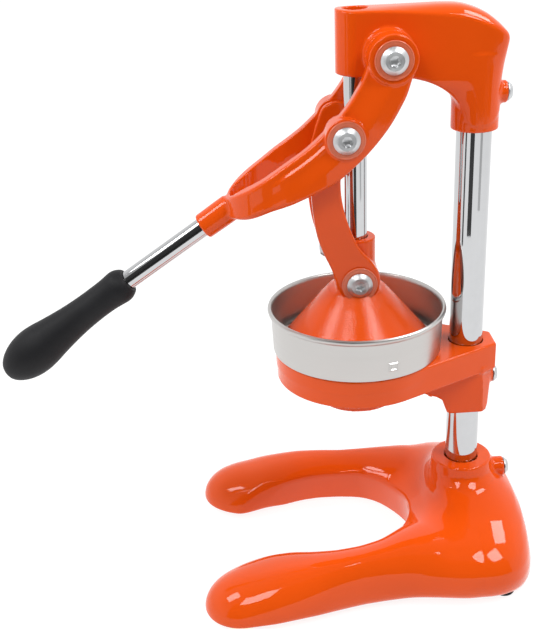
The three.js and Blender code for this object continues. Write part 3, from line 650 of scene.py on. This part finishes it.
def yoke_field(x, y, z):
    ax = np.abs(x)
    prof = poly(y, z, ARM)
    t, _ = line_dist(y, z, ARM_TOP)
    sd = side_dist(ax, y, FORK)
    # the outer face steps out below its upper edge until it is flush with the pivot faces
    wl = 1 - sstep(y, -100, -88)
    b1 = 2.5 * sstep(y, -147, -130)
    b2 = 0.6 + 1.6 * sstep(y, -140, -105)
    bulge = wl * (b1 * sstep(t, 3.9, 6.9) + b2 * sstep(t, 8, 20)) + (1 - wl) * 4.6 * sstep(t, 1, 20)
    nose = sstep(-y, 160, 174)
    band = np.maximum(sd - (4.85 + bulge - 1.2 * nose), -sd - (4.85 - 5.3 * nose * (1 - sstep(t, 5, 12))))
    r = np.where(sd > 0, 2.2 - 0.8 * nose, 1.0) + 3.2 * sstep(-y, 118, 150) * sstep(t, 8, 16)
    d = rnd(prof, band, r)
    s, n = along(y, z)
    sock = rnd(np.hypot(x, n) - (9.8 - 0.25 * sstep(s, -14, 3)), np.abs(s + 9.5) - 12.8, 1.3)
    d = smin(d, sock, 3.0)
    for c, r, k in ((A, 16.5, 1.2), (B, 14.1, 0.8)):
        d = smin(d, rnd(np.hypot(y - c[0], z - c[1]) - r, np.abs(ax - (23.8 + PAD_X) / 2) - (PAD_X - 23.8) / 2, 0.9), k)
        d = smax(d, -(np.hypot(y - c[0], z - c[1]) - 6.4), 0.5)
    d = smax(d, -rnd(np.hypot(x, n) - 7.3, np.abs(s - 4.5) - 15.5, 0.3), 0.6)
    return d


# ----------------------------------------------------------------------- link
LINK = curve([
    (-117.0, 308.0), (-115.9, 295.0), (-113.4, 278.6), (-109.2, 265.6), (-103.6, 253.0), (-100.3, 243.4), (-97.2, 233.8), (-91.4, 227.2), (-83.5, 225.0),
    (-76.0, 227.0), (-70.6, 232.6), (-68.4, 240.5), (-69.6, 248.4), (-74.4, 257.4), (-82.0, 265.9), (-88.6, 279.6), (-93.4, 294), (-96.2, 308.9), (-96.4, 322.0), (-94.6, 330.5),
    (-89.6, 338.2), (-84.0, 343.8), (-81.4, 352.6), (-85.0, 361.9), (-94.4, 365.6), (-103.7, 362.0), (-108.2, 352.6), (-113.4, 336.0), (-116.6, 322.0),
], 3)


def link_field(x, y, z):
    prof = poly(y, z, LINK)
    sh = 13.0 + 4.2 * np.clip((z - 259.0) / 69.0, 0, 1)
    d = rnd(prof, np.abs(x - sh - 3.0) - 3.0, 1.6)
    d = smax(d, -np.maximum(np.hypot(y - B[0], z - B[1]) - 6.4, 18.8 - x), 0.5)
    d = smax(d, -(np.hypot(y - C[0], z - C[1]) - 6.4), 0.5)
    return d


# ----------------------------------------------------------------------- bell
BELL_PROF = [(-5, 222.5), (19.8, 222.5), (22.2, 220.6), (49.6, 190.6), (54.6, 190.6), (54.9, 191.4), (28.4, 223.4), (21.2, 231.2), (17.5, 232.6), (-5, 233.0)]


def bell_field(x, y, z):
    r = np.hypot(x, y - PY)
    d = poly(r, z, BELL_PROF) - 0.15
    block = rnd(np.abs(x) - 12.7, rnd(np.abs(y + 83.5) - 14.4, np.abs(z - 230.5) - 12.5, 1.0), 1.2)
    block = np.minimum(block, cyl_x(x, y, z, C, 16.2, -12.7, 12.7, 1.2))
    d = smin(d, block, 4.5)
    neck = rnd(cyl_z(x, y, z, PY, 13.9, 226, 271.1, 1.0), np.abs(x) - 12.7, 1.0)
    d = smin(d, neck, 2.0)
    d = smin(d, rnd(np.hypot(x, z - 263.5) - 7.2, np.abs(y + 98.0) - 8.2, 1.0), 2.0)
    d = smax(d, -cyl_z(x, y, z, PY, 8.4, 251, 300, 0.3), 0.7)
    d = smax(d, -cyl_x(x, y, z, C, 6.4, -40, 40, 0.3), 0.5)
    d = np.maximum(d, -rnd(np.hypot(x, z - 263.5) - 3.3, np.abs(y + 104.0) - 18.0, 0.2))
    return d


# -------------------------------------------------------------------- bracket
def hull_plan(x, y, rb, rh, rear, ch):
    """Bowl circle and hub circle joined by tangents, squared off behind."""
    ax = np.abs(x)
    d = -PY
    a = math.asin((rb - rh) / d)
    nx, ny = math.cos(a), math.sin(a)
    bowl = np.hypot(x, y - PY) - rb
    side = ax * nx + (y - PY) * ny - rb
    ang = np.arctan2(y - PY, ax)
    dd = np.where(ang < a, bowl, side)
    dd = np.maximum(dd, y - rear)
    c = 1 / math.sqrt(1 + ch[2] ** 2)
    dd = np.maximum(dd, (ax - ch[0] + (y - ch[1]) * ch[2]) * c)
    return dd


BOWL_PROF = [(-5, 141.6), (29.4, 141.6), (30.0, 148), (31.4, 154.5), (37, 157.0), (45, 158.2), (50.6, 160.0), (55.6, 163.2), (59.0, 167.6), (60.6, 173.5), (60.9, 182.9), (-5, 182.9)]
BOWL_IN = [(-5, 130), (23.4, 130), (23.4, 156), (54.6, 168.8), (56.6, 172), (56.6, 200), (-5, 200)]
HUB_SIDE = [(-15.6, 127.4), (-12.2, 126.2), (15.4, 126.2), (17.2, 130.5), (18.6, 146), (20.4, 166), (-50, 166), (-50, 160), (-40, 148.3), (-31, 144.0), (-24, 141.6), (-19.6, 138.6), (-17.2, 131.6)]


def bracket_field(x, y, z):
    r = np.hypot(x, y - PY)
    bowl = poly(r, z, BOWL_PROF) - 0.3
    plan = hull_plan(x, y, 60.8, 19.9, 21.2, (17.8, 9.4, 0.62))
    plate = rnd(plan, np.abs(z - 171.9) - 10.9, 1.6)
    d = smin(bowl, plate, 2.5)
    taper = 17.6 - 0.05 * (166 - z)
    oct_ = np.maximum(np.abs(x) - taper, np.abs(x) * 0.7071 + np.maximum(y, 0) * 0.7071 - 19.4)
    hub = rnd(poly(y, z, HUB_SIDE), oct_, 2.0)
    d = smin(d, hub, 2.5)
    d = smin(d, cyl_y(x, y, z, 152.3, 7.0, 8, 21.2, 1.0), 3.0)
    nub = np.sqrt(x ** 2 + (y + 25.5) ** 2 + (z - 137.6) ** 2) - 3.2
    d = smin(d, nub, 1.2)
    d = smax(d, -(poly(r, z, BOWL_IN)), 1.0)
    d = smax(d, -(np.hypot(x, y) - 12.95), 0.8)
    d = np.maximum(d, -rnd(np.hypot(x, z - 152.3) - 3.3, np.abs(y - 30) - 25, 0.2))
    return d


pieces = []


def put(ob, body, slot, *nodes):
    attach(ob, body)
    if nodes:
        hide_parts(*nodes)
    pieces.append(ob)
    return ob


put(cast("base_shell", base_field, (-104, -212, 2.5), (104, 59, 81.5), 1.5, ORANGE), "stand", "orange_paint", "base_casting")
put(cast("head_arch", head_field, (-24.5, -98.5, 346), (24.5, 24, 434.5), 1.0, ORANGE), "stand", "orange_paint", "head_casting")
put(cast("bowl_arm", bracket_field, (-62, -145.5, 125.5), (62, 24.5, 184.5), 1.2, ORANGE), "stand", "orange_paint", "bowl_bracket")
put(cast("fork_yoke", yoke_field, (-39.5, -204, 271), (39.5, -45, 421), 1.05, ORANGE), "lever", "orange_paint", "lever_yoke")
put(cast("link_plate_right", link_field, (12, -119, 223), (25, -66, 368), 0.9, ORANGE), "links", "orange_paint", "link_right")
put(cast("link_plate_left", link_field, (12, -119, 223), (25, -66, 368), 0.9, ORANGE, mirror=True), "links", "orange_paint", "link_left")
put(cast("bell_cone", bell_field, (-57, -141, 189), (57, -26, 272.5), 1.1, BELL), "press", "bell_paint", "press_bell")

# --------------------------------------------------------------- chrome tubes
put(turned("column", [(0, 22), (12.5, 22), (12.5, 417.4), (11.9, 418), (10.4, 418), (10.4, 400), (0, 400)], CHROME, (0, 0, 0), (0, 0, 1), 128), "stand", "chrome", "column_tube")
put(turned("guide", [(0, 251.3), (8, 251.3), (8, 420.2), (7.2, 421), (0, 421)], CHROME, (0, PY, 0), (0, 0, 1), 96), "press", "chrome", "guide_rod")
put(turned("handle_bar", [(0, -10.6), (7, -10.6), (7, 160), (0, 160)], CHROME, (0, HP[0], HP[1]), (0, HD[0], HD[1]), 96), "lever", "chrome", "handle_rod")
GRIP = [(7.25, 72.0), (9.3, 72.0), (9.9, 72.6), (11.2, 74.6), (12.3, 77.4), (12.65, 80.5), (12.3, 84.5), (11.8, 90), (11.55, 99), (11.7, 109), (12.3, 120), (13.6, 132.5),
        (15.4, 145), (16.9, 154), (17.5, 161), (17.3, 167), (16.2, 173.5), (14.2, 179.5), (11.2, 185), (7.6, 188.9), (3.6, 190.7), (0, 191.0)]


def droop(s):
    t = max(0.0, s - 95.0)
    q = -3.6 * (t / 95.0) ** 1.3
    return (0.0, -HD[1] * q * -1.0, HD[0] * q * -1.0)


put(turned("grip", [(0, 165), (7.25, 165)] + [tuple(p) for p in curve(GRIP, 3, False)], RUBBER, (0, HP[0], HP[1]), (0, HD[0], HD[1]), 96, bend=droop), "lever", "rubber", "handle_grip")

# -------------------------------------------------------------- cup, strainer
CUP = [(17.8, 137.3), (18.1, 137.0), (19.1, 137.0), (19.4, 137.4), (19.5, 156.8), (20.6, 159.2), (23.5, 160.6), (51.8, 171.8), (54.2, 173.6), (55.2, 176.4), (55.5, 183.0), (56.0, 183.5),
       (61.8, 183.5), (62.8, 183.9), (63.1, 185.0), (64.0, 210.6), (64.3, 212.4), (65.2, 213.2), (66.15, 214.2), (66.45, 215.4), (66.1, 216.6), (65.1, 217.2), (64.0, 216.9), (63.3, 215.9), (62.95, 214.0),
       (61.5, 186.4), (61.1, 185.4), (60.4, 184.9), (55.4, 184.9), (54.4, 184.4), (54.0, 183.2), (53.6, 176.6), (52.7, 174.6), (50.8, 173.4), (22.8, 162.2), (19.0, 160.2), (17.9, 157.4)]
cup = turned("cup_shell", CUP, SATIN, (0, PY, 0), (0, 0, 1), 160, closed=True)
put(cup, "cup", "satin_steel", "juice_cup")


def punch_mark(at_deg, z, half, lift):
    """A small square pressed outward from the cup's wall."""
    a0 = math.radians(at_deg)
    n = Vector((math.cos(a0), math.sin(a0), -0.045)).normalized()
    t = Vector((-math.sin(a0), math.cos(a0), 0))
    u = n.cross(t)
    o = Vector((63.45 * math.cos(a0), PY + 63.45 * math.sin(a0), z))
    verts, faces = [], []
    rows = ((half * 1.35, -0.6), (half * 1.3, 0.0), (half, lift), (half * 0.8, lift), (half * 0.55, lift - 0.7))
    for h, w in rows:
        for sx, sy in ((-1, -1), (1, -1), (1, 1), (-1, 1)):
            verts.append(tuple(o + t * (sx * h) + u * (sy * h) + n * w))
    for i in range(len(rows) - 1):
        for k in range(4):
            faces.append((4 * i + k, 4 * i + (k + 1) % 4, 4 * i + 4 + (k + 1) % 4, 4 * i + 4 + k))
    faces.append(tuple(range(4 * len(rows) - 4, 4 * len(rows))))
    return add_mesh("punch_mark", verts, faces, SATIN, smooth=False)


put(punch_mark(16.8, 193.6, 2.7, 0.8), "cup", "satin_steel")


def strainer_field(x, y, z):
    r = np.hypot(x, y - PY)
    prof = [(-4, 213.0), (6.6, 211.6), (12.8, 208.4), (18, 203.4), (38.4, 187.2), (42, 185.7), (60.6, 185.7), (60.6, 186.9), (42.4, 186.9), (39.6, 188.4), (19, 204.8), (13.5, 210.2), (7, 213.4), (-4, 214.6)]
    d = poly(r, z, prof) - 0.05
    an = np.arctan2(y - PY, x)
    k = 24
    seg = 2 * math.pi / k
    a2 = (an + seg / 2) % seg - seg / 2
    slot_ = rnd(np.abs(r * np.sin(a2)) - 1.6, np.abs(r - 50.5) - 6.5, 1.4)
    d = np.maximum(d, -slot_)
    return d


put(cast("cone_strainer", strainer_field, (-61, -145, 185), (61, -22, 215.5), 0.8, SATIN_IN), "strainer", "satin_steel", "strainer_cone")


# -------------------------------------------------------- screws and washers
def hexa(u, v, r):
    """Distance to a hexagon of inner radius r."""
    k = np.array([-0.8660254, 0.5, 0.57735])
    a, b = np.abs(u), np.abs(v)
    m = 2 * np.minimum(k[0] * a + k[1] * b, 0.0)
    a = a - m * k[0]
    b = b - m * k[1]
    a2 = a - np.clip(a, -k[2] * r, k[2] * r)
    b2 = b - r
    return np.hypot(a2, b2) * np.sign(b2)


def button(R, H, flat, hexr, depth, shank):
    prof = [(-3, 0), (R, 0), (R, 0.75), (R - 0.35, 1.15), (flat, H), (-3, H)]

    def f(u, v, w):
        r = np.hypot(u, v)
        d = poly(r, w, prof) - 0.08
        d = np.minimum(d, rnd(r - 3.0, np.abs(w + shank / 2) - shank / 2 - 0.2, 0.3))
        d = smax(d, -np.maximum(hexa(u, v, hexr), (H - depth) - w + r * 0.15), 0.25)
        return d
    return f


def screw_mesh(field, R, H, shank, h):
    v, q, nr = surface(field, (-R - .2, -R - .2, -shank - .4), (R + .2, R + .2, H + .2), h * (1))
    return v, q, nr


SSCREW = screw_mesh(button(6.6, 3.2, 4.6, 2.6, 2.0, 8.0), 6.8, 3.4, 8.2, 0.36)


def place(name, mesh, at, axis, mat, spin=0.0):
    v, q, nr = mesh
    w = Vector(axis).normalized()
    a = Vector((0, 0, 1)) if abs(w.z) < 0.9 else Vector((1, 0, 0))
    u = (a - w * a.dot(w)).normalized()
    t = w.cross(u)
    c, s = math.cos(spin), math.sin(spin)
    M = np.array([[*(u * c + t * s)], [*(t * c - u * s)], [*w]])
    return add_mesh(name, v @ M + np.array(at), q, mat, nr @ M)


def pivot_screw(name, at, side, spin):
    """Button head with a flat, finely turned face and a six-sided socket."""
    seg = 96
    H = 3.25
    rows = [(0, -7.0, 0), (3.0, -7.0, 0), (3.0, 0.0, 0), (8.9, 0.0, 0), (9.2, 0.2, 0), (9.2, 0.85, 0), (9.1, 1.0, 0), (6.3, H - 0.1, 0), (6.1, H, 0)]
    r = 6.1
    while r > 4.0:
        r -= 0.14
        rows.append((r, H - (0.035 if len(rows) % 2 else 0.0), 0))
    rows += [(3.95, H, 0), (3.75, H, 0), (3.05, H - 0.25, 1), (3.0, H - 2.1, 1), (2.6, H - 2.35, 1), (0, H - 3.1, 0)]
    verts, faces, rings = [], [], []
    for rr, w, six in rows:
        if rr == 0:
            rings.append([len(verts)])
            verts.append((at[0] + side * w, at[1], at[2]))
            continue
        ring = []
        for k in range(seg):
            an = 2 * math.pi * k / seg
            q = rr
            if six:
                m = (an - math.radians(30)) % math.radians(60) - math.radians(30)
                q = rr / math.cos(m)
            a2 = an + spin
            ring.append(len(verts))
            verts.append((at[0] + side * w, at[1] + q * math.cos(a2), at[2] + q * math.sin(a2)))
        rings.append(ring)
    for p, q in zip(rings[:-1], rings[1:]):
        for k in range(seg):
            k2 = (k + 1) % seg
            if len(p) == 1:
                faces.append((p[0], q[k], q[k2]))
            elif len(q) == 1:
                faces.append((p[k], q[0], p[k2]))
            else:
                faces.append((p[k], q[k], q[k2], p[k2]))
    if side > 0:
        faces = [f[::-1] for f in faces]
    ob = add_mesh(name, verts, faces, SCREW)
    ob.data.set_sharp_from_angle(angle=math.radians(24))
    return ob


def washer(name, x0, side, c):
    pr = [(3.7, 0.0), (12.7, 0.0), (12.95, 0.25), (12.95, 0.9), (12.65, 1.2), (12.1, 1.2), (11.8, 0.95), (3.7, 0.95)]
    return turned(name, pr, CLEAR, (side * x0, c[0], c[1]), (side, 0, 0), 96, closed=True)


spin = 0.3
for side, tag in ((1, "right"), (-1, "left")):
    pf = PAD_X + 0.3
    hf = pf + 1.5
    lf = 13.0 + 6.0 + 0.6
    bf = lf + 1.5
    put(washer("head_pivot_disc_" + tag, pf, side, A), "lever", "clear_washer", "head_pivot_washer_" + tag)
    put(washer("link_pivot_disc_" + tag, pf, side, B), "lever", "clear_washer", "link_pivot_washer_" + tag)
    put(washer("bell_pivot_disc_" + tag, lf, side, C), "press", "clear_washer", "bell_pivot_washer_" + tag)
    put(pivot_screw("head_pivot_bolt_" + tag, (side * hf, *A), side, 0.3), "lever", "chrome", "head_pivot_screw_" + tag)
    put(pivot_screw("link_pivot_bolt_" + tag, (side * hf, *B), side, 0.75), "lever", "chrome", "link_pivot_screw_" + tag)
    put(pivot_screw("bell_pivot_bolt_" + tag, (side * bf, *C), side, 0.1), "press", "chrome", "bell_pivot_screw_" + tag)
    put(turned("link_pin_" + tag, [(0, 19.2), (5.6, 19.2), (6.0, 19.6), (6.0, 23.0), (5.6, 23.4), (0, 23.4)], PIN, (0, *B), (side, 0, 0), 64), "links", "steel_pin", "link_pivot_pin_" + tag)
put(turned("head_shaft", [(0, -24), (3.4, -24), (3.4, -38.3), (6, -38.3), (6, 38.3), (3.4, 38.3), (3.4, 24), (0, 24)], PIN, (0, *A), (1, 0, 0), 64), "lever", "steel_pin", "head_pivot_shaft")
put(turned("bell_shaft", [(0, -10), (3.4, -10), (3.4, -19.2), (6, -19.2), (6, 19.2), (3.4, 19.2), (3.4, 10), (0, 10)], PIN, (0, *C), (1, 0, 0), 64), "press", "steel_pin", "bell_pivot_shaft")
put(place("base_bolt", SSCREW, (0, 34.6, 67.0), (0, 1, 0), SCREW, 0.2), "stand", "chrome", "base_set_screw")
put(place("bracket_bolt", SSCREW, (0, 21.6, 152.3), (0, 1, 0), SCREW, 0.5), "stand", "chrome", "bracket_set_screw")
put(place("head_bolt", SSCREW, (0, 21.7, 371.0), (0, 1, 0), SCREW, 0.9), "stand", "chrome", "head_set_screw")
put(place("bell_bolt", SSCREW, (0, -106.6, 263.5), (0, -1, 0), SCREW, 0.0), "press", "chrome", "bell_set_screw")
for (fx, fy), tag in zip(FEET, ("front_right", "front_left", "rear_right", "rear_left")):
    put(turned("pad_" + tag, [(0, 0), (7.2, 0), (8.0, 0.4), (8.5, 1.3), (8.3, 2.3), (7.7, 2.7), (4.9, 2.7), (4.9, 7.9), (4.4, 8.4), (0, 8.4)], RUBBER, (fx, fy, 0), (0, 0, 1), 48), "stand", "rubber", "foot_" + tag)

# ---------------------------------------------------------------------- stage
def sheet(name, verts, faces, c0, c1, rough=0.9, glow=0.0):
    """A flat piece of the studio, in metres."""
    me = bpy.data.meshes.new(name)
    me.from_pydata(verts, [], faces)
    me.update()
    ob = bpy.data.objects.new(name, me)
    bpy.context.scene.collection.objects.link(ob)
    m, nt, b = new_mat(name + "_finish")
    n = noise(nt, 3.0, 2.0)
    nt.links.new(ramp(nt, n.outputs["Fac"], [(0.3, c0), (0.7, c1)]).outputs["Color"], b.inputs["Base Color"])
    b.inputs["Roughness"].default_value = rough
    b.inputs["Specular IOR Level"].default_value = 0.1
    if glow:
        b.inputs["Emission Color"].default_value = (1, 1, 1, 1)
        b.inputs["Emission Strength"].default_value = glow
    me.materials.append(m)
    return ob


sheet("floor", [(-8, -8, 0), (8, -8, 0), (8, 8, 0), (-8, 8, 0)], [(0, 1, 2, 3)], (0.20, 0.20, 0.20), (0.22, 0.22, 0.22), glow=0.90)


def card(name, a0, a1, r0, r1, tone):
    """A card lying on the floor that only reflections see, so that polished
    metal shows the dark edges of a studio instead of an endless white one."""
    n = 10
    vs, fs = [], []
    for i in range(n + 1):
        t = math.radians(a0 + (a1 - a0) * i / n)
        for r in (r0, r1):
            vs.append((r * math.cos(t), SY / 1000 + r * math.sin(t), 0.003))
    for i in range(n):
        fs.append((2 * i, 2 * i + 1, 2 * i + 3, 2 * i + 2))
    ob = sheet(name, vs, fs, (tone, tone, tone), (tone * 1.1, tone * 1.1, tone * 1.1))
    ob.visible_camera = False
    ob.visible_shadow = False
    return ob


card("card_camera", -33, -6, 0.74, 5.0, 0.05)
card("card_left", -66, -56, 0.70, 5.0, 0.08)
card("card_right", 31, 47, 0.85, 5.0, 0.50)
card("card_front", -50, 62, 1.42, 7.0, 0.06)
wall = sheet("card_wall", [(3.5, -4.5, 0), (3.5, 5.5, 0), (3.5, 5.5, 5.5), (3.5, -4.5, 5.5)], [(0, 1, 2, 3)], (0.05, 0.05, 0.05), (0.06, 0.06, 0.06))
wall.visible_camera = wall.visible_shadow = False

world = bpy.data.worlds.new("studio")
bpy.context.scene.world = world
world.use_nodes = True
wt = world.node_tree
tc = wt.nodes.new("ShaderNodeTexCoord")
tilt = wt.nodes.new("ShaderNodeVectorMath")
tilt.operation = "DOT_PRODUCT"
tilt.inputs[1].default_value = (0.42, 0.0, 0.90)
wt.links.new(tc.outputs["Generated"], tilt.inputs[0])
wr = wt.nodes.new("ShaderNodeValToRGB")
wr.color_ramp.elements[0].position = 0.30
wr.color_ramp.elements[0].color = (1.0, 1.0, 1.0, 1)
wr.color_ramp.elements[1].position = 0.96
wr.color_ramp.elements[1].color = (0.20, 0.20, 0.20, 1)
wt.links.new(tilt.outputs["Value"], wr.inputs["Fac"])
wt.links.new(wr.outputs["Color"], wt.nodes["Background"].inputs["Color"])
wt.nodes["Background"].inputs["Strength"].default_value = 1.0
bpy.context.scene.view_settings.view_transform = "Standard"
bpy.context.scene.view_settings.look = "None"


def softbox(name, az, el, size, radiance, dist=1.8):
    """A square soft light at a bearing and a height angle from the press."""
    ld = bpy.data.lights.new(name, "AREA")
    ld.shape = "SQUARE"
    ld.size = size
    ld.energy = radiance * math.pi * size * size
    ob = bpy.data.objects.new(name, ld)
    bpy.context.scene.collection.objects.link(ob)
    a, e = math.radians(az), math.radians(el)
    d = Vector((math.cos(e) * math.cos(a), math.cos(e) * math.sin(a), math.sin(e)))
    ob.location = Vector((0.04, 0.05, 0.06)) + d * dist
    ob.rotation_euler = (-d).to_track_quat("-Z", "Y").to_euler()
    return ob


softbox("soft_a", -80, 50, 0.50, 10.5)
softbox("soft_b", -30, 50, 0.50, 10.5)
softbox("soft_c", 45, 54, 0.50, 12.2)
softbox("soft_d", 97, 58, 0.50, 12.6)

# --------------------------------------------------------------------- camera
YAW, PITCH, ROLL = -0.03594808363097682, 0.42291672967765587, 0.04295192937937366
cam_at = P(731.1352003089157, -177.20909868592986, 547.1662787089763 - 5.5)
fwd = Vector((-math.cos(YAW) * math.cos(PITCH), -math.sin(YAW) * math.cos(PITCH), -math.sin(PITCH)))
right = fwd.cross(Vector((0, 0, 1))).normalized()
down = fwd.cross(right).normalized()
r2 = right * math.cos(ROLL) + down * math.sin(ROLL)
d2 = -right * math.sin(ROLL) + down * math.cos(ROLL)
cd = bpy.data.cameras.new("view")
cam = bpy.data.objects.new("view", cd)
bpy.context.scene.collection.objects.link(cam)
cam.matrix_world = Matrix(((r2.x, -d2.x, -fwd.x, cam_at.x), (r2.y, -d2.y, -fwd.y, cam_at.y), (r2.z, -d2.z, -fwd.z, cam_at.z), (0, 0, 0, 1)))
cd.sensor_fit = "VERTICAL"
cd.sensor_height = 36.0
cd.sensor_width = 36.0
cd.lens = 1074.602319193675 * 36.0 / 629.0
cd.clip_start = 0.01
bpy.context.scene.camera = cam
